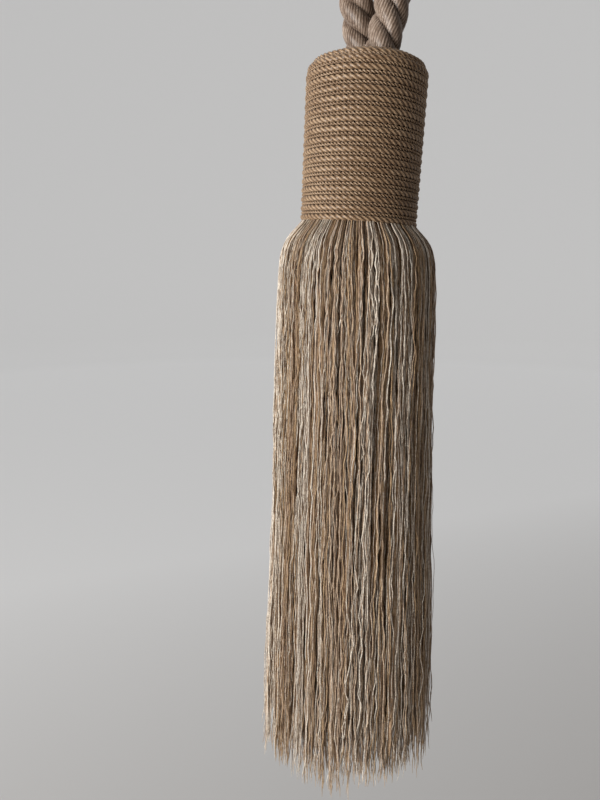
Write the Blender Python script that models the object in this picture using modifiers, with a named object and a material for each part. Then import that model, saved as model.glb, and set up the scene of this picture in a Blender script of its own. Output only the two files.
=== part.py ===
"""A curtain tieback: a tassel with a corded head, hung from a loop of thick twisted rope.

Metres, +Z up, +X to the right and +Y away from the viewer.  The origin is where the
loop hangs: the top of the inside of its bend.  The tassel hangs straight down from it,
its head leaning a little to +X.
"""

import math
import random

import bmesh
import bpy
from mathutils import Vector

MM = 0.001

# The rope: three plies twisted to the left, one length folded over into a loop.
ROPE_DIAMETER = 12.2 * MM
ROPE_PLIES = 3
ROPE_GROOVE = 1.9 * MM
ROPE_LAY = 26 * MM
STEPS_PER_LAY = 7
SPLINE_SAMPLES = 40

# The route of the rope's centre in millimetres, from the front leg to the back one.
ROPE_ROUTE = (
    (0.4, -5.4, -252.8),
    (0.65, -5.4, -247.0),
    (2.8, -4.7, -238.0),
    (5.3, -3.6, -225.0),
    (10.2, -1.7, -200.0),
    (16.8, -0.4, -160.0),
    (21.6, 0.0, -112.0),
    (24.9, 0.0, -62.0),
    (26.0, 0.0, -19.8),
    (22.5, 0.0, -6.8),
    (13.0, 0.0, 2.7),
    (0.0, 0.0, 6.1),
    (-13.0, 0.0, 2.7),
    (-22.5, 0.0, -6.8),
    (-26.0, 0.0, -19.8),
    (-25.1, 0.0, -62.0),
    (-22.3, 0.0, -112.0),
    (-18.6, 0.4, -160.0),
    (-12.8, 1.7, -200.0),
    (-8.3, 3.6, -225.0),
    (-6.4, 4.8, -238.0),
    (-5.45, 5.4, -247.0),
    (-5.7, 5.4, -252.4),
)

# The head: a turned mould wound with rows of a thick cord and a thin one, side by side.
HEAD_RADIUS = 22.1 * MM
HEAD_HEIGHT = 58 * MM
HEAD_SHOULDER = 6.5 * MM
HEAD_SIDES = 26
HEAD_LEAN = math.radians(2.3)
HEAD_FOOT = Vector((-6 * MM, 0, -308 * MM))
WELL_RADIUS = 13.4 * MM
WELL_DEPTH = 3 * MM
THICK_CORD = 2.3 * MM
THIN_CORD = 1.0 * MM
CORD_PITCH = THICK_CORD + THIN_CORD
CORD_VALLEY = 1.2 * MM
THIN_CORD_DEPTH = 0.8 * MM

# The skirt's backing, 0.3 mm under the head: rings of faces that the locks grow from.
# One row for each ring of points: radius and depth under the head in mm, and sectors.
BACKING_RINGS = (
    (21.0, 0.3, 48),
    (21.0, 3.2, 48),
    (17.2, 4.6, 48),
    (16.5, 4.8, 24),
    (13.1, 5.8, 24),
    (9.7, 6.6, 24),
    (9.0, 6.8, 12),
    (5.9, 7.4, 12),
    (2.6, 7.9, 12),
)
ROOT_INSET = 0.35 * MM

# The skirt's outline.  One row for each section, in mm: depth under the head, reach to
# the sides, reach to the front and back.
SKIRT_SECTIONS = (
    (0.0, 22.5, 22.5),
    (2.2, 26.0, 26.0),
    (4.5, 28.2, 28.2),
    (9.0, 29.9, 29.7),
    (16.0, 30.9, 30.2),
    (28.0, 31.4, 30.2),
    (69.0, 32.8, 30.0),
    (113.0, 34.4, 30.2),
    (161.0, 36.6, 30.4),
    (235.0, 38.8, 30.8),
)

# The locks of yarn.  One row for each ring of locks, from the outside in: the place of
# its outer face as a share of the skirt's reach, its thickness in mm, the depths in mm
# at which its sections lie, and how much shorter it ends than the skirt, in mm.
LOCK_RINGS = (
    (1.000, 3.0, (2.2, 5.4, 11.5, 26.0, 84.0, 146.0), 0.0),
    (0.862, 3.0, (9.0, 17.0, 95.0), 3.0),
    (0.718, 3.2, (11.0, 24.0), 1.0),
    (0.560, 3.2, (13.0, 26.0), 0.0),
    (0.400, 3.2, (14.0, 30.0), 2.0),
    (0.240, 3.0, (15.0, 30.0), 4.0),
)
LOCK_WIDTH_SHARE = 0.80
LOCK_GAP = 0.55 * MM
SLOPE_STEP = 2 * MM
LOCK_TIP_SHARE = 0.55
SKIRT_LENGTH = 230 * MM
LENGTH_SPREAD = 5 * MM
RADIAL_SPREAD = 0.7 * MM
SWAY = 0.55 * MM
SWAY_WAVE = 88 * MM
SWAY_START = 30 * MM
LEAN_FADE = 24 * MM
SKIRT_SEED = 11


def clear_scene():
    """Remove every object that a new file comes with."""
    for obj in list(bpy.data.objects):
        bpy.data.objects.remove(obj, do_unlink=True)


def new_collection(name):
    """A collection of its own under the scene's."""
    collection = bpy.data.collections.new(name)
    bpy.context.scene.collection.children.link(collection)
    return collection


def cloth_material(name, colour, roughness):
    """A plain textile finish."""
    material = bpy.data.materials.new(name)
    material.use_nodes = True
    shader = material.node_tree.nodes["Principled BSDF"]
    shader.inputs["Base Color"].default_value = (*colour, 1.0)
    shader.inputs["Roughness"].default_value = roughness
    shader.inputs["Metallic"].default_value = 0.0
    shader.inputs["Sheen Weight"].default_value = 0.3
    return material


def smooth_path(points, samples):
    """Points on a smooth curve through the given ones (centripetal Catmull-Rom)."""
    ends = [points[0] * 2 - points[1], *points, points[-1] * 2 - points[-2]]
    path = []
    for before, start, end, after in zip(ends, ends[1:], ends[2:], ends[3:]):
        knots = [0.0]
        for a, b in ((before, start), (start, end), (end, after)):
            knots.append(knots[-1] + math.sqrt((b - a).length))
        for step in range(samples):
            t = knots[1] + (knots[2] - knots[1]) * step / samples
            first = [
                before.lerp(start, (t - knots[0]) / (knots[1] - knots[0])),
                start.lerp(end, (t - knots[1]) / (knots[2] - knots[1])),
                end.lerp(after, (t - knots[2]) / (knots[3] - knots[2])),
            ]
            second = [
                first[0].lerp(first[1], (t - knots[0]) / (knots[2] - knots[0])),
                first[1].lerp(first[2], (t - knots[1]) / (knots[3] - knots[1])),
            ]
            path.append(second[0].lerp(second[1], (t - knots[1]) / (knots[2] - knots[1])))
    path.append(points[-1].copy())
    return path


def even_path(path, count):
    """The same path with count equal steps."""
    lengths = [0.0]
    for a, b in zip(path, path[1:]):
        lengths.append(lengths[-1] + (b - a).length)
    even = []
    index = 0
    for step in range(count + 1):
        target = lengths[-1] * step / count
        while index < len(path) - 2 and lengths[index + 1] < target:
            index += 1
        share = (target - lengths[index]) / (lengths[index + 1] - lengths[index])
        even.append(path[index].lerp(path[index + 1], share))
    return even, lengths[-1]


def rope_section(collection):
    """The rope's cross-section: one round lobe for each ply, with a groove between."""
    points_per_ply = 3
    count = ROPE_PLIES * points_per_ply
    curve = bpy.data.curves.new("rope_section", "CURVE")
    curve.dimensions = "2D"
    curve.fill_mode = "NONE"
    spline = curve.splines.new("POLY")
    spline.points.add(count - 1)
    for number, point in enumerate(spline.points):
        angle = -2 * math.pi * number / count
        in_groove = number % points_per_ply == 0
        radius = ROPE_DIAMETER / 2 - (ROPE_GROOVE if in_groove else 0.0)
        point.co = (radius * math.cos(angle), radius * math.sin(angle), 0.0, 1.0)
    spline.use_cyclic_u = True
    section = bpy.data.objects.new("rope_section", curve)
    section.hide_render = True
    section.display_type = "WIRE"
    collection.objects.link(section)
    return section


def make_rope(parts, guides):
    """The rope: its section turned evenly along the route, so that the plies twist."""
    route = [Vector(point) * MM for point in ROPE_ROUTE]
    fine = smooth_path(route, SPLINE_SAMPLES)
    length = even_path(fine, 1)[1]
    count = round(length / ROPE_LAY * STEPS_PER_LAY)
    centres = even_path(fine, count)[0]
    curve = bpy.data.curves.new("rope_loop", "CURVE")
    curve.dimensions = "3D"
    curve.twist_mode = "MINIMUM"
    curve.resolution_u = 1
    curve.render_resolution_u = 0
    curve.bevel_mode = "OBJECT"
    curve.bevel_object = rope_section(guides)
    curve.use_fill_caps = True
    spline = curve.splines.new("POLY")
    spline.points.add(count)
    for number, (point, centre) in enumerate(zip(spline.points, centres)):
        point.co = (*centre, 1.0)
        point.tilt = -2 * math.pi * (length * number / count) / ROPE_LAY
    rope = bpy.data.objects.new("rope_loop", curve)
    curve.materials.append(cloth_material("satin_rope", (0.42, 0.35, 0.28), 0.45))
    parts.objects.link(rope)


def mould_outline():
    """The head's outline as (radius, height, outward radius, outward height).

    It runs from the rim of the well on top, over the shoulder and down to the foot.
    """
    outline = []
    flat_end = HEAD_RADIUS - HEAD_SHOULDER
    flat_steps = 12
    for step in range(flat_steps):
        radius = WELL_RADIUS + (flat_end - WELL_RADIUS) * step / flat_steps
        outline.append((radius, HEAD_HEIGHT, 0.0, 1.0))
    arc_steps = 60
    for step in range(arc_steps):
        angle = math.pi / 2 * (1 - step / arc_steps)
        across, up = math.cos(angle), math.sin(angle)
        radius = flat_end + HEAD_SHOULDER * across
        height = HEAD_HEIGHT - HEAD_SHOULDER + HEAD_SHOULDER * up
        outline.append((radius, height, across, up))
    side_steps = 200
    for step in range(side_steps + 1):
        height = (HEAD_HEIGHT - HEAD_SHOULDER) * (1 - step / side_steps)
        outline.append((HEAD_RADIUS, height, 1.0, 0.0))
    return outline


def outline_at(outline, lengths, distance):
    """The outline's place and outward direction at a distance along it."""
    index = 0
    while index < len(outline) - 2 and lengths[index + 1] < distance:
        index += 1
    share = (distance - lengths[index]) / (lengths[index + 1] - lengths[index])
    share = min(max(share, 0.0), 1.0)
    return [a + (b - a) * share for a, b in zip(outline[index], outline[index + 1])]


def wound_profile():
    """The mould's outline with the rows of cord raised on it, from the well to the foot."""
    outline = mould_outline()
    lengths = [0.0]
    for a, b in zip(outline, outline[1:]):
        lengths.append(lengths[-1] + math.hypot(b[0] - a[0], b[1] - a[1]))
    rows = round(lengths[-1] / CORD_PITCH)
    pitch = lengths[-1] / rows
    crown_start = 0.26 * THICK_CORD
    crown_end = 0.74 * THICK_CORD
    thin_middle = THICK_CORD + THIN_CORD / 2
    profile = []
    for row in range(rows):
        marks = (
            (0.0, CORD_VALLEY),
            (crown_start, 0.0),
            (crown_end, 0.0),
            (THICK_CORD, CORD_VALLEY),
            (thin_middle, THIN_CORD_DEPTH),
        )
        for along, depth in marks:
            distance = (row + along / CORD_PITCH) * pitch
            radius, height, across, up = outline_at(outline, lengths, distance)
            profile.append((radius - depth * across, height - depth * up))
    profile.append((HEAD_RADIUS - CORD_VALLEY, 0.0))
    return profile


def make_head(parts):
    """The head: the wound profile turned about its axis, with a well for the rope."""
    profile = [(0.0, HEAD_HEIGHT - WELL_DEPTH), (WELL_RADIUS, HEAD_HEIGHT - WELL_DEPTH)]
    profile += wound_profile()
    profile.append((0.0, 0.0))
    mesh = bpy.data.meshes.new("head")
    points = [(radius, 0.0, height) for radius, height in profile]
    mesh.from_pydata(points, [(i, i + 1) for i in range(len(points) - 1)], [])
    head = bpy.data.objects.new("head", mesh)
    parts.objects.link(head)
    screw = head.modifiers.new("turn", "SCREW")
    screw.axis = "Z"
    screw.angle = 2 * math.pi
    screw.steps = HEAD_SIDES
    screw.render_steps = HEAD_SIDES
    screw.use_merge_vertices = True
    screw.merge_threshold = 1e-5
    head.location = HEAD_FOOT
    head.rotation_euler = (0.0, HEAD_LEAN, 0.0)
    mesh.materials.append(cloth_material("wound_cord", (0.30, 0.19, 0.10), 0.6))


def skirt_reach(depth, angle):
    """The skirt's outer radius at a depth under the head and an angle around it."""
    depth = max(depth, 0.0)
    rows = SKIRT_SECTIONS
    index = 0
    while index < len(rows) - 2 and rows[index + 1][0] * MM < depth:
        index += 1
    low, high = rows[index], rows[index + 1]
    share = (depth - low[0] * MM) / ((high[0] - low[0]) * MM)
    side = (low[1] + (high[1] - low[1]) * share) * MM
    front = (low[2] + (high[2] - low[2]) * share) * MM
    return side * front / math.hypot(front * math.cos(angle), side * math.sin(angle))


def hang(point, depth):
    """A place under the head, tilted with the head near it and plumb lower down."""
    share = min(max(depth / LEAN_FADE, 0.0), 1.0)
    tilt = (1 - share) ** 2 * (1 + 2 * share)
    drop = point.x * math.tan(HEAD_LEAN) * tilt
    return HEAD_FOOT + Vector((point.x, point.y, point.z - drop))


def sway(depth, angle, reach_share):
    """The slow sideways wave that neighbouring locks share, less towards the middle."""
    phase = 1.6 * math.sin(2 * angle + 0.7) + 1.1 * math.sin(3 * angle)
    wave = math.sin(2 * math.pi * depth / SWAY_WAVE + phase)
    return SWAY * wave * min(depth / SWAY_START, 1.0) * reach_share


def make_backing(mesh_data):
    """The backing's rings of faces.  It returns the faces that locks grow from, by ring."""
    rings = []
    for radius, depth, sectors in BACKING_RINGS:
        ring = []
        for sector in range(sectors):
            angle = 2 * math.pi * sector / sectors
            place = Vector((radius * math.cos(angle), radius * math.sin(angle), -depth)) * MM
            ring.append(mesh_data.verts.new(hang(place, depth * MM)))
        rings.append(ring)
    mesh_data.faces.new(rings[0])
    mesh_data.faces.new(list(reversed(rings[-1])))
    grown = []
    for upper, lower in zip(rings, rings[1:]):
        faces = []
        step = len(upper) // len(lower)
        for sector in range(len(lower)):
            following = (sector + 1) % len(lower)
            top = [upper[(sector * step + part) % len(upper)] for part in range(step + 1)]
            faces.append(mesh_data.faces.new([*reversed(top), lower[sector], lower[following]]))
        if step == 1:
            grown.append(faces)
    mesh_data.normal_update()
    return grown


def lock_section(ring, sectors, depth, angle, full, inward):
    """The four corners of a lock's section, by side (-1, 1) and face (-1 inner, 1 outer).

    The section is a wedge, so that locks stand as far apart at their inner faces as at
    their outer ones.
    """
    outer_share, thickness = LOCK_RINGS[ring][0], LOCK_RINGS[ring][1] * MM * full
    reach = skirt_reach(depth, angle) * outer_share - inward
    outward = Vector((math.cos(angle), math.sin(angle), 0.0))
    sideways = Vector((-math.sin(angle), math.cos(angle), 0.0))
    rise = (skirt_reach(depth + SLOPE_STEP, angle) - skirt_reach(depth, angle)) / SLOPE_STEP
    tilt = math.atan(rise * outer_share)
    facing = outward * math.cos(tilt) + Vector((0.0, 0.0, math.sin(tilt)))
    middle = outward * reach + Vector((0.0, 0.0, -depth)) - facing * (thickness / 2)
    corners = {}
    for face in (-1, 1):
        face_middle = middle + facing * (face * thickness / 2)
        pitch = 2 * math.pi * face_middle.dot(outward) / sectors
        width = min(pitch * LOCK_WIDTH_SHARE, pitch - LOCK_GAP) * full
        for side in (-1, 1):
            offset = sideways * (side * width / 2 + sway(depth, angle, outer_share))
            corners[side, face] = hang(face_middle + offset, depth)
    return corners


def grow_locks(mesh_data, ring, faces, chance):
    """Grow one ring of locks out of the backing's faces, a section at a time."""
    depths, shorter = LOCK_RINGS[ring][2:]
    sectors = len(faces)
    tag = mesh_data.faces.layers.int["lock"]
    locks = []
    for number, face in enumerate(faces):
        face[tag] = number + 1
        uneven = chance.uniform(-1, 1) * LENGTH_SPREAD
        inward = chance.uniform(0, 1) * RADIAL_SPREAD
        locks.append((SKIRT_LENGTH - shorter * MM + uneven, inward))
    bmesh.ops.inset_individual(mesh_data, faces=faces, thickness=ROOT_INSET)
    for station in range(len(depths) + 1):
        grown = bmesh.ops.extrude_discrete_faces(mesh_data, faces=faces)
        faces = grown["faces"]
        for face in faces:
            number = face[tag] - 1
            length, inward = locks[number]
            angle = 2 * math.pi * (number + 0.5) / sectors
            at_tip = station == len(depths)
            depth = length if at_tip else depths[station] * MM
            full = LOCK_TIP_SHARE if at_tip else 1.0
            corners = lock_section(ring, sectors, depth, angle, full, inward)
            sideways = Vector((-math.sin(angle), math.cos(angle), 0.0))
            centre = face.calc_center_median()
            outermost = sorted(face.verts, key=lambda v: face_height(v.co, centre, angle))
            for face_side, pair in ((-1, outermost[:2]), (1, outermost[2:])):
                pair = sorted(pair, key=lambda v: (v.co - centre).dot(sideways))
                for side, vertex in zip((-1, 1), pair):
                    vertex.co = corners[side, face_side]


def face_height(place, centre, angle):
    """How far a root's point lies towards the outside and the top of the skirt."""
    offset = place - centre
    outward = offset.x * math.cos(angle) + offset.y * math.sin(angle)
    return outward + offset.z


def make_skirt(parts):
    """The skirt: a backing under the head, with every lock of yarn grown out of it."""
    chance = random.Random(SKIRT_SEED)
    mesh_data = bmesh.new()
    mesh_data.faces.layers.int.new("lock")
    for ring, faces in enumerate(make_backing(mesh_data)):
        grow_locks(mesh_data, ring, faces, chance)
    bmesh.ops.recalc_face_normals(mesh_data, faces=mesh_data.faces)
    mesh = bpy.data.meshes.new("skirt")
    mesh_data.to_mesh(mesh)
    mesh_data.free()
    mesh.materials.append(cloth_material("skirt_yarn", (0.45, 0.34, 0.22), 0.85))
    parts.objects.link(bpy.data.objects.new("skirt", mesh))


clear_scene()
tieback = new_collection("curtain_tieback")
guide_shapes = new_collection("guides")
make_rope(tieback, guide_shapes)
make_head(tieback)
make_skirt(tieback)
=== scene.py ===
import math

import bmesh
import bpy
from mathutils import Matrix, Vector


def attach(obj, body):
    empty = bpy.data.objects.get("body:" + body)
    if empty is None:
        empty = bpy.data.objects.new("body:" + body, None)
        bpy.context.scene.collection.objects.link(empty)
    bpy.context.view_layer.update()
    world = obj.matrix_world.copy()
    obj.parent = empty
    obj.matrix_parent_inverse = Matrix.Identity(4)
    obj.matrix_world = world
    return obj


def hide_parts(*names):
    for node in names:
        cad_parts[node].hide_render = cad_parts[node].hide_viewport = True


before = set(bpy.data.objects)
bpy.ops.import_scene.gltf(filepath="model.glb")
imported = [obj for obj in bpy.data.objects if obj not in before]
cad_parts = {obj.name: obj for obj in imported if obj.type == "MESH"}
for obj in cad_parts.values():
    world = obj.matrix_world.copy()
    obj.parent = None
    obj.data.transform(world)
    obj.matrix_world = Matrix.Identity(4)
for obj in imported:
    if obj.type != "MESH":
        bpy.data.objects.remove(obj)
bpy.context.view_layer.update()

# The camera stands where the photograph was taken: close in front of the tassel and a
# little to its left, level with the head's foot, and tipped down along the skirt.
MM = 0.001
HEAD_FOOT = Vector((-6 * MM, 0, -308 * MM))
CAMERA_FROM_FOOT = Vector((-22.2 * MM, -240 * MM, -10 * MM))
CAMERA_PITCH = math.radians(13.5)
CAMERA_LENS = 27.05

camera_data = bpy.data.cameras.new("photo_camera")
camera_data.lens = CAMERA_LENS
camera_data.clip_start = 0.01
camera = bpy.data.objects.new("photo_camera", camera_data)
camera.location = HEAD_FOOT + CAMERA_FROM_FOOT
camera.rotation_euler = (math.pi / 2 - CAMERA_PITCH, 0, 0)
bpy.context.scene.collection.objects.link(camera)
bpy.context.scene.camera = camera


# The rope loop: one length of satin rope, laid to the left from three full plies.  The
# threads of each ply are twisted the other way, so they lie nearly along the rope.
SAMPLES_PER_SPAN = 12
STRAND_SHEEN_STRETCH = 22
PATCH_WIDTH = 9
PATCH_STRETCH = 60
ROPE_ROUTE = (
    (0.4, -5.4, -252.8),
    (0.65, -5.4, -247.0),
    (2.8, -4.7, -238.0),
    (5.3, -3.6, -225.0),
    (10.2, -1.7, -200.0),
    (16.8, -0.4, -160.0),
    (21.6, 0.0, -112.0),
    (24.9, 0.0, -62.0),
    (26.0, 0.0, -19.8),
    (22.5, 0.0, -6.8),
    (13.0, 0.0, 2.7),
    (0.0, 0.0, 6.1),
    (-13.0, 0.0, 2.7),
    (-22.5, 0.0, -6.8),
    (-26.0, 0.0, -19.8),
    (-25.1, 0.0, -62.0),
    (-22.3, 0.0, -112.0),
    (-18.6, 0.4, -160.0),
    (-12.8, 1.7, -200.0),
    (-8.3, 3.6, -225.0),
    (-6.4, 4.8, -238.0),
    (-5.45, 5.4, -247.0),
    (-5.7, 5.4, -252.4),
)


class Term:
    """One output of a node, which adds and multiplies as a number does."""

    def __init__(self, tree, socket):
        self.tree = tree
        self.socket = socket

    def output(self, name):
        """Another output of the same node."""
        return Term(self.tree, self.socket.node.outputs[name])

    def __add__(self, other):
        return maths(self.tree, "ADD", self, other)

    def __sub__(self, other):
        return maths(self.tree, "SUBTRACT", self, other)

    def __rsub__(self, other):
        return maths(self.tree, "SUBTRACT", other, self)

    def __mul__(self, other):
        return maths(self.tree, "MULTIPLY", self, other)

    def __truediv__(self, other):
        return maths(self.tree, "DIVIDE", self, other)

    def __rtruediv__(self, other):
        return maths(self.tree, "DIVIDE", other, self)

    def __pow__(self, other):
        return maths(self.tree, "POWER", self, other)

    __radd__ = __add__
    __rmul__ = __mul__


def node(tree, kind, inputs=None, **settings):
    """Add a node, fill its inputs by name or number, and give its first output."""
    made = tree.nodes.new(kind)
    for name, value in settings.items():
        setattr(made, name, value)
    for key, value in (inputs or {}).items():
        if isinstance(value, Term):
            tree.links.new(value.socket, made.inputs[key])
        else:
            made.inputs[key].default_value = value
    return Term(tree, made.outputs[0] if made.outputs else None)


def maths(tree, operation, *values):
    """The result of a Math node."""
    return node(tree, "ShaderNodeMath", dict(enumerate(values)), operation=operation)


def vector_maths(tree, operation, *values):
    """The result of a Vector Math node."""
    return node(tree, "ShaderNodeVectorMath", dict(enumerate(values)), operation=operation)


def scaled(tree, vector, factor):
    """A vector made longer or shorter."""
    return node(tree, "ShaderNodeVectorMath", {0: vector, "Scale": factor}, operation="SCALE")


def joined(tree, x, y, z):
    """A vector from its three parts."""
    return node(tree, "ShaderNodeCombineXYZ", {0: x, 1: y, 2: z})


def attribute(tree, name, kind="FLOAT"):
    """A value that an earlier node stored on the geometry."""
    return node(tree, "GeometryNodeInputNamedAttribute", {"Name": name}, data_type=kind)


def stored(tree, geometry, name, value, kind="FLOAT", domain="POINT"):
    """The geometry with a named value stored on it."""
    inputs = {"Geometry": geometry, "Name": name, "Value": value}
    return node(tree, "GeometryNodeStoreNamedAttribute", inputs, data_type=kind, domain=domain)


SOCKET_KINDS = {
    int: "NodeSocketInt",
    float: "NodeSocketFloat",
    Vector: "NodeSocketVector",
    bpy.types.Material: "NodeSocketMaterial",
}


def new_tree(name, sizes):
    """A Geometry Nodes tree with one named input for each size.  It gives their terms."""
    tree = bpy.data.node_groups.new(name, "GeometryNodeTree")
    tree.is_modifier = True
    add_socket = tree.interface.new_socket
    add_socket("Geometry", in_out="INPUT", socket_type="NodeSocketGeometry")
    for label, value in sizes.items():
        add_socket(label, in_out="INPUT", socket_type=SOCKET_KINDS[type(value)])
    add_socket("Geometry", in_out="OUTPUT", socket_type="NodeSocketGeometry")
    start = tree.nodes.new("NodeGroupInput")
    return tree, {socket.name: Term(tree, socket) for socket in start.outputs if socket.name}


def finish_tree(tree, geometry, material):
    """End a tree: real faces, smooth, with the piece's material."""
    real = node(tree, "GeometryNodeRealizeInstances", {"Geometry": geometry})
    smooth = node(tree, "GeometryNodeSetShadeSmooth", {"Geometry": real, "Shade Smooth": True})
    painted = node(tree, "GeometryNodeSetMaterial", {"Geometry": smooth, "Material": material})
    end = tree.nodes.new("NodeGroupOutput")
    tree.links.new(painted.socket, end.inputs["Geometry"])


def grown(name, source, tree, sizes, weld=0.02 * MM):
    """The plain mesh that a tree makes of a source object, welded and facing outwards."""
    modifier = source.modifiers.new(name, "NODES")
    modifier.node_group = tree
    for item in tree.interface.items_tree:
        if item.name in sizes:
            modifier[item.identifier] = sizes[item.name]
    bpy.context.view_layer.update()
    evaluated = source.evaluated_get(bpy.context.evaluated_depsgraph_get())
    mesh = bpy.data.meshes.new_from_object(evaluated)
    bpy.data.objects.remove(source)
    mesh.name = name
    shell = bmesh.new()
    shell.from_mesh(mesh)
    bmesh.ops.remove_doubles(shell, verts=shell.verts, dist=weld)
    bmesh.ops.recalc_face_normals(shell, faces=shell.faces)
    shell.to_mesh(mesh)
    shell.free()
    piece = bpy.data.objects.new(name, mesh)
    bpy.context.scene.collection.objects.link(piece)
    return piece


def path_object(name, points, level=False):
    """A curve object that runs straight from point to point, for a cord that is wound
    level round a piece or for one that hangs.
    """
    curve = bpy.data.curves.new(name, "CURVE")
    curve.dimensions = "3D"
    curve.twist_mode = "Z_UP" if level else "MINIMUM"
    spline = curve.splines.new("POLY")
    spline.points.add(len(points) - 1)
    for point, place in zip(spline.points, points):
        point.co = (*place, 1.0)
    path = bpy.data.objects.new(name, curve)
    bpy.context.scene.collection.objects.link(path)
    return path


def bent_along(tree, sheet, route, place):
    """Bend a straight cord, drawn along +Z, so that it follows a route."""
    parts = node(tree, "ShaderNodeSeparateXYZ", {0: place})
    inputs = {"Curves": route, "Length": parts.output("Z")}
    on_route = node(tree, "GeometryNodeSampleCurve", inputs, mode="LENGTH")
    normal = on_route.output("Normal")
    across = vector_maths(tree, "CROSS_PRODUCT", on_route.output("Tangent"), normal)
    offset = vector_maths(
        tree,
        "ADD",
        scaled(tree, normal, parts.output("X")),
        scaled(tree, across, parts.output("Y")),
    )
    bent = vector_maths(tree, "ADD", on_route.output("Position"), offset)
    return node(tree, "GeometryNodeSetPosition", {"Geometry": sheet, "Position": bent})


def unrolled_tube(tree, route, step, corners):
    """A flat grid that a tube is rolled from: its mesh, and each point's angle and run."""
    length = node(tree, "GeometryNodeCurveLength", {0: route})
    steps = maths(tree, "CEIL", length / step)
    sizes = {"Size X": 1.0, "Size Y": 1.0, "Vertices X": corners + 1, "Vertices Y": steps + 1}
    grid = node(tree, "GeometryNodeMeshGrid", sizes)
    place = node(tree, "GeometryNodeInputPosition")
    parts = node(tree, "ShaderNodeSeparateXYZ", {0: place})
    angle = (parts.output("X") + 0.5) * math.tau
    share = parts.output("Y") + 0.5
    row = share * steps
    open_end = maths(tree, "MINIMUM", maths(tree, "MINIMUM", row, steps - row), 1.0)
    return grid, angle, share * length, maths(tree, "ROUND", open_end)


def smooth_path(points, samples):
    """Points on a smooth curve through the given ones (centripetal Catmull-Rom)."""
    ends = [points[0] * 2 - points[1], *points, points[-1] * 2 - points[-2]]
    path = []
    for before, start, end, after in zip(ends, ends[1:], ends[2:], ends[3:]):
        knots = [0.0]
        for a, b in ((before, start), (start, end), (end, after)):
            knots.append(knots[-1] + math.sqrt((b - a).length))
        for step in range(samples):
            t = knots[1] + (knots[2] - knots[1]) * step / samples
            first = [
                before.lerp(start, (t - knots[0]) / (knots[1] - knots[0])),
                start.lerp(end, (t - knots[1]) / (knots[2] - knots[1])),
                end.lerp(after, (t - knots[2]) / (knots[3] - knots[2])),
            ]
            second = [
                first[0].lerp(first[1], (t - knots[0]) / (knots[2] - knots[0])),
                first[1].lerp(first[2], (t - knots[1]) / (knots[3] - knots[1])),
            ]
            path.append(second[0].lerp(second[1], (t - knots[1]) / (knots[2] - knots[1])))
    path.append(points[-1].copy())
    return path


def ramp(tree, factor, *stops):
    """A colour ramp with one stop for each (place, colour)."""
    made = node(tree, "ShaderNodeValToRGB", {0: factor})
    elements = made.socket.node.color_ramp.elements
    while len(elements) < len(stops):
        elements.new(0.5)
    for element, (place, colour) in zip(elements, stops):
        element.position = place
        element.color = (*colour, 1.0)
    return made


def cloth_shader(name, roughness, sheen):
    """A textile's material with its constant values set, and its tree and shader."""
    material = bpy.data.materials.new(name)
    material.use_nodes = True
    shader = material.node_tree.nodes["Principled BSDF"]
    shader.inputs["Roughness"].default_value = roughness
    shader.inputs["Sheen Weight"].default_value = sheen
    shader.inputs["Sheen Roughness"].default_value = 0.4
    return material, material.node_tree, shader


def streaks(tree, across, along, detail=3.0):
    """Noise in fine streaks along a cord, from its place on the straight cord."""
    straight = node(tree, "ShaderNodeAttribute", attribute_name="straight").output("Vector")
    stretched = vector_maths(tree, "MULTIPLY", straight, (1 / across, 1 / across, 1 / along))
    return node(tree, "ShaderNodeTexNoise", {"Vector": stretched, "Scale": 1.0, "Detail": detail})


def multiplied(tree, first, second):
    """Two colours multiplied."""
    inputs = {"Factor": 1.0, 6: first, 7: second}
    made = node(tree, "ShaderNodeMix", inputs, data_type="RGBA", blend_type="MULTIPLY")
    return Term(tree, made.socket.node.outputs[2])


def satin_material(name, dark, middle, light, thread, bump_depth, roughness):
    """Satin thread: streaks of strand tone that also paint sheen, with painted shade in the grooves
    between plies and between threads.
    """
    material, tree, shader = cloth_shader(name, roughness, 0.15)
    # Painted sheen: the strand streaks are partly thread tone and partly painted sheen, bright and
    # dull strands side by side; they also drive the bump.
    strands = streaks(tree, thread, thread * STRAND_SHEEN_STRETCH)
    patches = streaks(tree, thread * PATCH_WIDTH, thread * PATCH_STRETCH, 2.0)
    shade = strands * 0.65 + patches * 0.35
    colour = ramp(tree, shade, (0.36, dark), (0.5, middle), (0.64, light))
    # Painted shade: the colour is darkened towards the grooves between plies, by the crown, and
    # between threads, by the furrow.
    crown = node(tree, "ShaderNodeAttribute", attribute_name="crown").output("Fac")
    groove_shade = ramp(tree, crown, (0.1, (0.28, 0.23, 0.19)), (0.85, (1.0, 1.0, 1.0)))
    furrow = node(tree, "ShaderNodeAttribute", attribute_name="furrow").output("Fac")
    thread_gap_shade = ramp(tree, furrow, (0.0, (1.0, 1.0, 1.0)), (1.0, (0.27, 0.22, 0.18)))
    shadowed = multiplied(tree, multiplied(tree, colour, groove_shade), thread_gap_shade)
    tree.links.new(shadowed.socket, shader.inputs["Base Color"])
    bump = node(tree, "ShaderNodeBump", {"Strength": 0.7, "Distance": bump_depth, "Height": strands})
    tree.links.new(bump.socket, shader.inputs["Normal"])
    return material


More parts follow.
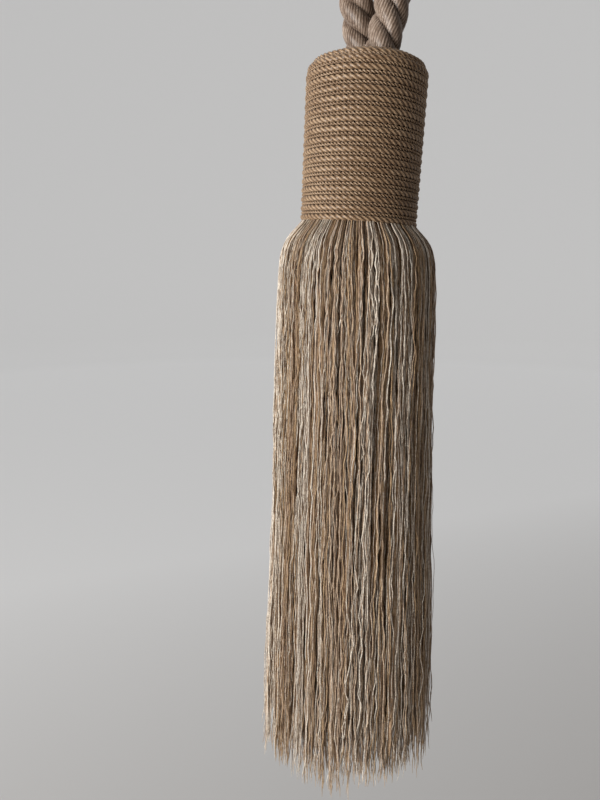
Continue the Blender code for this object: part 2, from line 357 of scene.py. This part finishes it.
def laid_rope_tree(sizes):
    """Thread-ridged plies laid round each other and bent along a route."""
    tree, size = new_tree("laid_rope", sizes)
    route = size["Geometry"]
    corners = size["Threads"] * 2
    grid, angle, run, open_end = unrolled_tube(tree, route, size["Step"], corners)
    seats = node(tree, "GeometryNodePoints", {"Count": size["Plies"]})
    copies = node(tree, "GeometryNodeInstanceOnPoints", {"Points": seats, "Instance": grid})
    number = node(tree, "GeometryNodeInputIndex")
    numbered = stored(tree, copies, "ply", number, domain="INSTANCE")
    sheets = node(tree, "GeometryNodeRealizeInstances", {"Geometry": numbered})

    # The plies are laid one way and the threads on them the other.
    ply = attribute(tree, "ply")
    laid = ply * math.tau / size["Plies"] - run * math.tau / size["Lay"] + size["First turn"]
    turned = angle + run * math.tau / size["Thread lay"]
    wander = joined(tree, ply * 7.3 + run * 55, angle * 1.6, ply * 3.1)
    uneven = node(tree, "ShaderNodeTexNoise", {"Vector": wander, "Scale": 1.0, "Detail": 1.0})
    swell = maths(tree, "COSINE", angle * size["Threads"])
    ridge = swell * size["Thread relief"] * (uneven + 0.4)
    fullness = (uneven - 0.5) * size["Unevenness"] + 1
    reach = size["Ply radius"] * (ridge + fullness) * open_end
    out = size["Ply reach"] + reach * maths(tree, "COSINE", turned)
    side = reach * maths(tree, "SINE", turned) * size["Ply flatness"]
    cosine = maths(tree, "COSINE", laid)
    sine = maths(tree, "SINE", laid)
    straight = joined(tree, out * cosine - side * sine, out * sine + side * cosine, run)
    kept = stored(tree, sheets, "straight", straight, kind="FLOAT_VECTOR")

    # The crown runs from 0 in the grooves between plies to 1 on the rope's outside, and
    # the furrow from 0 on a thread to 1 between two; the material paints shade with both.
    radius = maths(tree, "SQRT", out * out + side * side)
    low = size["Ply reach"]
    high = size["Ply reach"] + size["Ply radius"]
    crown = maths(tree, "MINIMUM", maths(tree, "MAXIMUM", (radius - low) / (high - low), 0.0), 1.0)
    shaded = stored(tree, stored(tree, kept, "crown", crown), "furrow", 0.5 - swell * 0.5)
    place = attribute(tree, "straight", "FLOAT_VECTOR")
    finish_tree(tree, bent_along(tree, shaded, route, place), size["Material"])
    return tree


rope_satin = satin_material(
    "rope_satin",
    dark=(0.180, 0.120, 0.088),
    middle=(0.380, 0.285, 0.222),
    light=(0.640, 0.525, 0.438),
    thread=0.34 * MM,
    bump_depth=0.12 * MM,
    roughness=0.38,
)
rope_sizes = {
    "Plies": 3,
    "Ply reach": 2.70 * MM,
    "Ply radius": 3.50 * MM,
    "Ply flatness": 1.14,
    "Lay": 26.0 * MM,
    "First turn": -0.65,
    "Thread lay": 14.5 * MM,
    "Threads": 22,
    "Thread relief": 0.065,
    "Unevenness": 0.10,
    "Step": 1.05 * MM,
    "Material": rope_satin,
}
rope_path = smooth_path([Vector(point) * MM for point in ROPE_ROUTE], SAMPLES_PER_SPAN)
rope_length = sum((b - a).length for a, b in zip(rope_path, rope_path[1:]))
rope_route = path_object("rope_route", rope_path)
rope = grown("satin_rope_loop", rope_route, laid_rope_tree(rope_sizes), rope_sizes)
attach(rope, "root")
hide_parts("rope_loop")


# The head: a turned mould wound from foot to crown with two satin cords side by side,
# one thick with three plies and one thin with two.  The rope goes into a well on top.
HEAD_RADIUS = 22.1 * MM
HEAD_HEIGHT = 58 * MM
HEAD_SHOULDER = 5.8 * MM
HEAD_LEAN = math.radians(2.3)
WELL_RADIUS = 13.4 * MM
WELL_DEPTH = 3 * MM
THICK_CORD = 2.28 * MM
THICK_INSET = THICK_CORD * 0.37
THIN_INSET = THICK_CORD * 0.29
WINDING_ROWS = 20
WINDING_START = math.radians(80)
WINDING_END = THICK_CORD * 0.4
POINTS_PER_TURN = 72

head_frame = (
    Vector((math.cos(HEAD_LEAN), 0, -math.sin(HEAD_LEAN))),
    Vector((0, 1, 0)),
    Vector((math.sin(HEAD_LEAN), 0, math.cos(HEAD_LEAN))),
)


def on_head(x, y, z):
    """A place given along the leaning head's own axes, from the middle of its foot."""
    return HEAD_FOOT + head_frame[0] * x + head_frame[1] * y + head_frame[2] * z


def head_outline(run, inset):
    """The head's (radius, height) at a run from the foot, set in from its surface."""
    side = HEAD_HEIGHT - HEAD_SHOULDER
    arc = HEAD_SHOULDER * math.pi / 2
    if run <= side:
        return HEAD_RADIUS - inset, run
    if run <= side + arc:
        turn = (run - side) / HEAD_SHOULDER
        bend = HEAD_SHOULDER - inset
        return HEAD_RADIUS - HEAD_SHOULDER + bend * math.cos(turn), side + bend * math.sin(turn)
    return HEAD_RADIUS - HEAD_SHOULDER - (run - side - arc), HEAD_HEIGHT - inset


outline_run = (
    HEAD_HEIGHT - HEAD_SHOULDER + HEAD_SHOULDER * math.pi / 2
    + HEAD_RADIUS - HEAD_SHOULDER - WELL_RADIUS
)
row_pitch = outline_run / WINDING_ROWS


def winding(first_run, inset):
    """The centre of a cord wound up the head, one turn for each row."""
    points = []
    steps = round((outline_run - first_run - WINDING_END) / row_pitch * POINTS_PER_TURN)
    for step in range(steps + 1):
        turn = step / POINTS_PER_TURN
        radius, height = head_outline(first_run + row_pitch * turn, inset)
        angle = WINDING_START - math.tau * turn
        points.append(on_head(radius * math.cos(angle), radius * math.sin(angle), height))
    return points


def twisted_cord_tree(sizes):
    """A lobed tube, one lobe for each ply, twisted and bent along a route."""
    tree, size = new_tree("twisted_cord", sizes)
    route = size["Geometry"]
    grid, angle, run, open_end = unrolled_tube(tree, route, size["Step"], size["Corners"])
    lobe = math.tau / size["Plies"]
    from_lobe = (maths(tree, "FRACT", angle / lobe + 0.5) - 0.5) * lobe
    reach = size["Ply reach"]
    ply_radius = size["Ply radius"]
    offset = reach * maths(tree, "SINE", from_lobe)
    bulge = maths(tree, "SQRT", ply_radius * ply_radius - offset * offset)
    wander = joined(tree, run * 140, angle * 0.3, 0.0)
    uneven = node(tree, "ShaderNodeTexNoise", {"Vector": wander, "Scale": 1.0, "Detail": 1.0})
    full = (uneven - 0.5) * size["Unevenness"] + 1
    radius = (reach * maths(tree, "COSINE", from_lobe) + bulge) * open_end * full
    turned = angle + run * math.tau / size["Lay"]
    cosine = maths(tree, "COSINE", turned)
    sine = maths(tree, "SINE", turned)
    straight = joined(tree, radius * cosine * size["Pressed"], radius * sine * size["Spread"], run)
    kept = stored(tree, grid, "straight", straight, kind="FLOAT_VECTOR")
    # Painted shade: the crown is 0 between two plies and 1 on a ply's middle, and the satin material
    # darkens the colour where it is low.
    crown = maths(tree, "ABSOLUTE", from_lobe) / lobe * 2
    shaded = stored(tree, kept, "crown", 1 - crown)
    place = attribute(tree, "straight", "FLOAT_VECTOR")
    finish_tree(tree, bent_along(tree, shaded, route, place), size["Material"])
    return tree


cord_satin = satin_material(
    "cord_satin",
    dark=(0.230, 0.134, 0.072),
    middle=(0.435, 0.290, 0.173),
    light=(0.625, 0.460, 0.302),
    thread=0.16 * MM,
    bump_depth=0.05 * MM,
    roughness=0.36,
)
thick_sizes = {
    "Plies": 3,
    "Corners": 12,
    "Ply reach": 0.50 * MM,
    "Ply radius": 0.64 * MM,
    "Pressed": 0.88,
    "Spread": 0.98,
    "Lay": 6.8 * MM,
    "Step": 0.6 * MM,
    "Unevenness": 0.06,
    "Material": cord_satin,
}
thin_sizes = {
    "Plies": 2,
    "Corners": 8,
    "Ply reach": 0.26 * MM,
    "Ply radius": 0.32 * MM,
    "Pressed": 1.0,
    "Spread": 1.0,
    "Lay": 2.7 * MM,
    "Step": 0.40 * MM,
    "Unevenness": 0.06,
    "Material": cord_satin,
}
cord_tree = twisted_cord_tree(thick_sizes)
for name, sizes, first_run, inset in (
    ("thick_cord_winding", thick_sizes, THICK_CORD * 0.5, THICK_INSET),
    ("thin_cord_winding", thin_sizes, THICK_CORD * 0.5 + row_pitch * 0.5, THIN_INSET),
):
    route = path_object(name, winding(first_run, inset), level=True)
    cord = grown(name, route, cord_tree, sizes)
    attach(cord, "root")
    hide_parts("head")


# The mould under the winding: a turned form in a much darkened cord colour, which is
# painted shade where it shows between the rows and inside the well.
MOULD_INSET = 1.7 * MM
MOULD_SIDES = 64
MOULD_STEPS = 40
MOULD_FOOT = 0.3 * MM
WELL_LIP_INSET = 0.6 * MM
WELL_LIP_DROP = 0.4 * MM
WELL_FLOOR_INSET = 0.8 * MM


def turned_shell(name, profile, sides):
    """A closed shell turned from (radius, height) points that start and end on the axis."""
    shell = bmesh.new()
    rings = []
    for radius, height in profile:
        if radius == 0:
            rings.append([shell.verts.new(on_head(0, 0, height))] * sides)
            continue
        ring = []
        for side in range(sides):
            angle = math.tau * side / sides
            place = on_head(radius * math.cos(angle), radius * math.sin(angle), height)
            ring.append(shell.verts.new(place))
        rings.append(ring)
    for low, high in zip(rings, rings[1:]):
        for side in range(sides):
            after = (side + 1) % sides
            corners = [low[side], low[after], high[after], high[side]]
            shell.faces.new(list(dict.fromkeys(corners)))
    bmesh.ops.recalc_face_normals(shell, faces=shell.faces)
    mesh = bpy.data.meshes.new(name)
    shell.to_mesh(mesh)
    shell.free()
    mesh.shade_smooth()
    piece = bpy.data.objects.new(name, mesh)
    bpy.context.scene.collection.objects.link(piece)
    return piece


def mould_material():
    material, tree, shader = cloth_shader("mould_painted_shade", 0.85, 0.0)
    place = node(tree, "ShaderNodeTexCoord").output("Object")
    grain = node(tree, "ShaderNodeTexNoise", {"Vector": place, "Scale": 900.0, "Detail": 2.0})
    # Painted shade: these browns are far darker than the cord's own colours.
    colour = ramp(tree, grain, (0.35, (0.090, 0.052, 0.027)), (0.65, (0.160, 0.098, 0.054)))
    tree.links.new(colour.socket, shader.inputs["Base Color"])
    return material


mould_profile = [(0, MOULD_FOOT)]
mould_profile += [
    head_outline(MOULD_FOOT + (outline_run - MOULD_FOOT) * step / MOULD_STEPS, MOULD_INSET)
    for step in range(MOULD_STEPS + 1)
]
mould_profile += [
    (WELL_RADIUS - WELL_LIP_INSET, HEAD_HEIGHT - MOULD_INSET - WELL_LIP_DROP),
    (WELL_RADIUS - WELL_FLOOR_INSET, HEAD_HEIGHT - WELL_DEPTH),
    (0, HEAD_HEIGHT - WELL_DEPTH),
]
mould = turned_shell("head_mould", mould_profile, MOULD_SIDES)
mould.data.materials.append(mould_material())
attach(mould, "root")
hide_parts("head")


# The skirt: some fifteen hundred yarns in three colours, which come out under the head,
# arch over a soft shoulder and hang in loose locks to an uneven hem.  Thicker yarns fill
# it behind them, and a few thin ones have strayed over its surface.
YARN_KINDS = (
    ("cream_yarns", (0.40, 0.31, 0.23), (0.90, 0.83, 0.73)),
    ("beige_yarns", (0.26, 0.165, 0.105), (0.66, 0.51, 0.37)),
    ("golden_yarns", (0.21, 0.122, 0.062), (0.55, 0.385, 0.225)),
)
KIND_LIMITS = (0.34, 0.67)
COLOUR_PATCHES = 5.5
PATCH_STRENGTH = 1.6
GOLDEN_ANGLE = 2.39996
PLAN_RADIUS = 31 * MM
FREE_BELOW = 26 * MM
PLUMB_BELOW = 24 * MM
CRINKLED_BELOW = 9 * MM
LOCK_WAVE = 46 * MM
SLOW_WAVE = 70 * MM
CRINKLE_WAVE = 12 * MM
THICKNESS_WAVE = 7 * MM
TUCK_HEIGHT = 2.2 * MM
TUCK_DEPTH = 1.1 * MM
ROOT_HEIGHT = 0.5 * MM
LONG_TAPER = 30 * MM
TIP_TAPER = 6 * MM
STRAND_SPREAD = 400
SLUB_GLINT_LENGTH = 0.95 * MM
DULL_LENGTH = 14 * MM
yarn_sizes = {
    "Yarns": 1530,
    "Crowding": 0.22,
    "Outermost": 1.0,
    "Sorted": 1.0,
    "Kind": 0,
    "Foot": HEAD_FOOT,
    "Lean": math.tan(HEAD_LEAN),
    "Root reach": 20.9 * MM,
    "Shoulder": 8.9 * MM,
    "Right shoulder": 8.0 * MM,
    "Shoulder drop": 4.2 * MM,
    "Side flare": 0.034,
    "Right flare": 0.042,
    "Front flare": 0.004,
    "Length": 230.0 * MM,
    "Side loss": 4.0 * MM,
    "Raggedness": 8.0 * MM,
    "Lock width": 6.5 * MM,
    "Lock pull": 0.5,
    "Sway": 2.3 * MM,
    "Crossing": 14.0 * MM,
    "Crinkle": 1.5 * MM,
    "Kink": 0.38 * MM,
    "Yarn width": 0.50 * MM,
    "Sections": 62,
    "Seed": 4,
}


def random_value(tree, low, high, number, seed):
    """A random number for each yarn."""
    inputs = {2: low, 3: high, "ID": number, "Seed": seed}
    made = node(tree, "FunctionNodeRandomValue", inputs, data_type="FLOAT")
    return Term(tree, made.socket.node.outputs[1])


def noise_vector(tree, vector):
    """Smooth noise with three parts, each from about -0.5 to 0.5."""
    noise = node(tree, "ShaderNodeTexNoise", {"Vector": vector, "Scale": 1.0, "Detail": 1.0})
    return vector_maths(tree, "SUBTRACT", noise.output("Color"), (0.5, 0.5, 0.5))


def x_of(tree, vector):
    """A vector's X, whose other parts are outputs of the same node."""
    return node(tree, "ShaderNodeSeparateXYZ", {0: vector})


def rising_to_one(tree, value):
    """The value, or 1 where it is more."""
    return maths(tree, "MINIMUM", value, 1.0)


def rooted_points(tree, size):
    """One point for each yarn of a kind.  It keeps the yarn's place in the skirt's round
    plan, from -1 to 1 each way, and two random numbers, tint and chance.
    """
    seed = size["Seed"]
    points = node(tree, "GeometryNodePoints", {"Count": size["Yarns"]})
    number = node(tree, "GeometryNodeInputIndex")
    turn = number * GOLDEN_ANGLE + random_value(tree, -0.25, 0.25, number, seed)
    share = ((number + 0.5) / size["Yarns"]) ** size["Crowding"] * size["Outermost"]
    plan_x = share * maths(tree, "COSINE", turn)
    plan_y = share * maths(tree, "SINE", turn)
    plan = joined(tree, plan_x, plan_y, 0.0)
    patch = x_of(tree, noise_vector(tree, scaled(tree, plan, COLOUR_PATCHES)))
    pick = patch * PATCH_STRENGTH + random_value(tree, 0.0, 1.0, number, seed + 1)
    low, high = (maths(tree, "GREATER_THAN", pick, limit) for limit in KIND_LIMITS)
    placed = stored(tree, points, "plan", plan, kind="FLOAT_VECTOR")
    tinted = stored(tree, placed, "tint", random_value(tree, 0.0, 1.0, number, seed + 2))
    chanced = stored(tree, tinted, "chance", random_value(tree, 0.0, 1.0, number, seed + 3))
    sorted_out = stored(tree, chanced, "kind", low + high)
    apart = maths(tree, "ABSOLUTE", attribute(tree, "kind") - size["Kind"])
    other = maths(tree, "GREATER_THAN", apart * size["Sorted"], 0.5)
    inputs = {"Geometry": sorted_out, "Selection": other}
    return node(tree, "GeometryNodeDeleteGeometry", inputs, domain="POINT")


def hanging_yarn_tree(sizes):
    """Yarns of one kind, from their roots under the head to the hem."""
    tree, size = new_tree("hanging_yarns", sizes)
    line = node(tree, "GeometryNodeCurvePrimitiveLine", {"Start": (0, 0, 0), "End": (0, 0, 1)})
    strand = node(tree, "GeometryNodeResampleCurve", {"Curve": line, "Count": size["Sections"]})
    inputs = {"Points": rooted_points(tree, size), "Instance": strand}
    copies = node(tree, "GeometryNodeInstanceOnPoints", inputs)
    strands = node(tree, "GeometryNodeRealizeInstances", {"Geometry": copies})

    plan = attribute(tree, "plan", "FLOAT_VECTOR")
    plan_x = x_of(tree, plan)
    plan_y = plan_x.output("Y")
    tint = attribute(tree, "tint")
    chance = attribute(tree, "chance")
    along = node(tree, "GeometryNodeSplineParameter")

    # Each yarn belongs to the nearest lock, which draws it in towards the hem.
    cell_space = scaled(tree, plan, PLAN_RADIUS / size["Lock width"])
    cells = node(tree, "ShaderNodeTexVoronoi", {"Vector": cell_space, "Scale": 1.0})
    centre = cells.output("Position")
    lock_plan = scaled(tree, centre, size["Lock width"] / PLAN_RADIUS)
    lock_chance = x_of(tree, cells.output("Color"))
    ragged = (tint - 0.5) * 1.2 + (lock_chance - 0.5) * 0.8 - (chance ** 8.0) * 1.5
    side_loss = size["Side loss"] * plan_x * plan_x
    length = size["Length"] + size["Raggedness"] * ragged - side_loss
    depth = (along ** 1.3) * length
    fall = depth / size["Length"]
    pull = (fall ** 2.2) * size["Lock pull"]
    towards = vector_maths(tree, "SUBTRACT", lock_plan, plan)
    gathered = x_of(tree, vector_maths(tree, "ADD", plan, scaled(tree, towards, pull)))

    # The shoulder swells out under the head, and the skirt widens a little below it.
    swell = 1 - maths(tree, "EXPONENT", 0 - depth / size["Shoulder drop"])
    to_right = maths(tree, "MAXIMUM", plan_x, 0.0)
    shoulder = size["Shoulder"] * (1 - to_right) + size["Right shoulder"] * to_right
    flare = size["Side flare"] * (1 - to_right) + size["Right flare"] * to_right
    reach = size["Root reach"] + shoulder * swell
    across = gathered * (reach + flare * depth)
    front = gathered.output("Y") * (reach + size["Front flare"] * depth)

    # Locks sway together, yarns wander, cross and crinkle on their own, most at the tips.
    lock_height = joined(tree, 0.0, 0.0, depth / LOCK_WAVE)
    lock_place = vector_maths(tree, "ADD", scaled(tree, centre, 0.6), lock_height)
    lock_sway = scaled(tree, noise_vector(tree, lock_place), size["Sway"])
    strayed = (chance ** 9.0) * 3.0 + 1 + (fall ** 9.0) * 1.6
    own_noise = noise_vector(tree, joined(tree, tint * 71, chance * 53, depth / CRINKLE_WAVE))
    own_sway = scaled(tree, own_noise, size["Crinkle"] * strayed)
    slow_noise = noise_vector(tree, joined(tree, tint * 37, chance * 91, depth / SLOW_WAVE))
    slow_sway = scaled(tree, slow_noise, size["Crinkle"] * 2.2)
    point_number = node(tree, "GeometryNodeInputIndex")
    kink = random_value(tree, -0.5, 0.5, point_number, size["Seed"] + 6)
    sideways = joined(tree, plan_y, plan_x * -1, 0.0)
    wander = x_of(tree, slow_noise) * size["Crinkle"] * 4.5
    crossing = (chance - 0.5) * size["Crossing"] * fall + wander * (fall ** 0.6)
    kinked = scaled(tree, sideways, kink * size["Kink"] * 2 + crossing)
    free = rising_to_one(tree, depth / FREE_BELOW)
    crinkled = rising_to_one(tree, depth / CRINKLED_BELOW)
    waved = scaled(tree, vector_maths(tree, "ADD", lock_sway, slow_sway), free)
    crisp = scaled(tree, vector_maths(tree, "ADD", own_sway, kinked), crinkled)
    sway = x_of(tree, vector_maths(tree, "ADD", waved, crisp))
    x = across + sway
    y = front + sway.output("Y")

    # The roots follow the leaning head's foot and tuck in under it.
    plumb = rising_to_one(tree, depth / PLUMB_BELOW)
    drop = x * size["Lean"] * (1 - plumb) * (1 - plumb)
    tucked = maths(tree, "EXPONENT", 0 - depth / TUCK_DEPTH) * TUCK_HEIGHT + ROOT_HEIGHT
    hung = vector_maths(tree, "ADD", size["Foot"], joined(tree, x, y, tucked - depth - drop))
    placed = node(tree, "GeometryNodeSetPosition", {"Geometry": strands, "Position": hung})
    straight = joined(tree, tint * 0.9, chance * 0.7, depth)
    kept = stored(tree, placed, "straight", straight, kind="FLOAT_VECTOR")

    # A yarn is uneven in thickness, thins out to its tip, and is thicker further inside.
    uneven = noise_vector(tree, joined(tree, tint * 19, chance * 67, depth / THICKNESS_WAVE))
    slub = x_of(tree, uneven) * 0.5 + 1
    to_end = length - depth
    thinned = rising_to_one(tree, to_end / LONG_TAPER * 0.3 + 0.7)
    thinned = rising_to_one(tree, to_end / TIP_TAPER * 0.6 + 0.4) * thinned
    inner = 1.25 - 0.25 * vector_maths(tree, "LENGTH", plan).output("Value")
    radius = size["Yarn width"] * 0.5 * slub * thinned * inner
    section = node(tree, "GeometryNodeCurvePrimitiveCircle", {"Resolution": 3, "Radius": 1.0})
    inputs = {"Curve": kept, "Profile Curve": section, "Scale": radius, "Fill Caps": True}
    finish_tree(tree, node(tree, "GeometryNodeCurveToMesh", inputs), size["Material"])
    return tree


def yarn_material(name, dark, light):
    """Slightly fuzzy yarn: each strand its own tone, with slub specks that are partly painted glints
    and shade, and dull patches along it.
    """
    material, tree, shader = cloth_shader(name, 0.75, 0.2)
    tint = node(tree, "ShaderNodeAttribute", attribute_name="tint").output("Fac")
    straight = node(tree, "ShaderNodeAttribute", attribute_name="straight").output("Vector")
    scales = (STRAND_SPREAD, STRAND_SPREAD, 1 / SLUB_GLINT_LENGTH)
    strand = vector_maths(tree, "MULTIPLY", straight, scales)
    # Painted light: the slub noise is partly the yarn's slub tone and partly painted glints and
    # shade on the twisted fibres; it also drives the bump.
    slubs_and_glints = node(tree, "ShaderNodeTexNoise", {"Vector": strand, "Scale": 1.0, "Detail": 3.0})
    scales = (STRAND_SPREAD, STRAND_SPREAD, 1 / DULL_LENGTH)
    length = vector_maths(tree, "MULTIPLY", straight, scales)
    patches = node(tree, "ShaderNodeTexNoise", {"Vector": length, "Scale": 1.0, "Detail": 1.0})
    shade = tint * 0.40 + slubs_and_glints * 1.60 + patches * 0.50 - 0.72
    colour = ramp(tree, shade, (0.15, dark), (0.85, light))
    tree.links.new(colour.socket, shader.inputs["Base Color"])
    bump = node(tree, "ShaderNodeBump", {"Strength": 1.0, "Distance": 0.30 * MM, "Height": slubs_and_glints})
    tree.links.new(bump.socket, shader.inputs["Normal"])
    return material


yarn_groups = [
    (name, {"Kind": kind, "Material": yarn_material(name, dark, light)})
    for kind, (name, dark, light) in enumerate(YARN_KINDS)
]
inner_sizes = {
    "Yarns": 340,
    "Crowding": 0.4,
    "Outermost": 0.92,
    "Sorted": 0.0,
    "Length": 219.0 * MM,
    "Lock pull": 0.2,
    "Yarn width": 2.0 * MM,
    "Sections": 24,
    "Material": yarn_material("inner_yarns", (0.30, 0.170, 0.090), (0.62, 0.43, 0.27)),
}
stray_sizes = {
    "Yarns": 80,
    "Crowding": 0.03,
    "Outermost": 1.0,
    "Sorted": 0.0,
    "Length": 218.0 * MM,
    "Raggedness": 5.0 * MM,
    "Crossing": 20.0 * MM,
    "Crinkle": 1.2 * MM,
    "Yarn width": 0.26 * MM,
    "Seed": 31,
    "Material": yarn_groups[0][1]["Material"],
}
yarn_tree = hanging_yarn_tree({**yarn_sizes, **yarn_groups[0][1]})
yarn_groups += [("inner_yarns", inner_sizes), ("stray_fibres", stray_sizes)]
for name, own_sizes in yarn_groups:
    start_point = path_object(name, [Vector((0, 0, 0)), Vector((0, 0, -1))])
    yarns = grown(name, start_point, yarn_tree, {**yarn_sizes, **own_sizes})
    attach(yarns, "root")
    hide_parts("skirt")


# The studio: a pale floor under the hanging tassel and a pale bowl all round, which glows
# behind the tassel and fills its shaded side, with one soft light from the left front.
FLOOR_DROP = 0.75
BOWL_RADIUS = 2.6
GLOW_SLANT = 0.35
LIGHT_AIM = HEAD_FOOT + Vector((0, 0, -60 * MM))


def studio_material():
    """Grey paper that glows behind the tassel and stays dim in front of it."""
    material, tree, shader = cloth_shader("studio_paper", 0.9, 0.0)
    shader.inputs["Base Color"].default_value = (0.30, 0.30, 0.30, 1)
    place = node(tree, "ShaderNodeTexCoord").output("Object")
    parts = node(tree, "ShaderNodeSeparateXYZ", {0: place})
    behind = (parts.output("Y") - parts * GLOW_SLANT) / BOWL_RADIUS * 0.5 + 0.5
    glow = ramp(tree, behind, (0.44, (0.058, 0.048, 0.040)), (0.62, (0.375, 0.375, 0.375)))
    tree.links.new(glow.socket, shader.inputs["Emission Color"])
    shader.inputs["Emission Strength"].default_value = 1.0
    return material


bowl = bmesh.new()
bmesh.ops.create_uvsphere(bowl, u_segments=48, v_segments=24, radius=BOWL_RADIUS)
for vertex in bowl.verts:
    vertex.co.z = max(vertex.co.z, -FLOOR_DROP)
bmesh.ops.reverse_faces(bowl, faces=bowl.faces)
bowl_mesh = bpy.data.meshes.new("studio_bowl")
bowl.to_mesh(bowl_mesh)
bowl.free()
bowl_mesh.shade_smooth()
bowl_mesh.materials.append(studio_material())
studio = bpy.data.objects.new("studio_bowl", bowl_mesh)
bpy.context.scene.collection.objects.link(studio)


def area_light(name, place, size, power, colour):
    """A soft square light that faces the tassel."""
    light = bpy.data.lights.new(name, "AREA")
    light.energy = power
    light.size = size
    light.color = colour
    lamp = bpy.data.objects.new(name, light)
    lamp.location = place
    aim = LIGHT_AIM - lamp.location
    lamp.rotation_euler = aim.to_track_quat("-Z", "Y").to_euler()
    bpy.context.scene.collection.objects.link(lamp)


area_light("window_light", Vector((-0.98, -0.68, -0.30)), 0.8, 17.6, (1.0, 0.97, 0.93))

world = bpy.data.worlds.new("studio_world")
world.use_nodes = True
background = world.node_tree.nodes["Background"]
background.inputs["Color"].default_value = (0.9, 0.93, 1.0, 1)
background.inputs["Strength"].default_value = 0.3
bpy.context.scene.world = world
bpy.context.scene.view_settings.view_transform = "Standard"
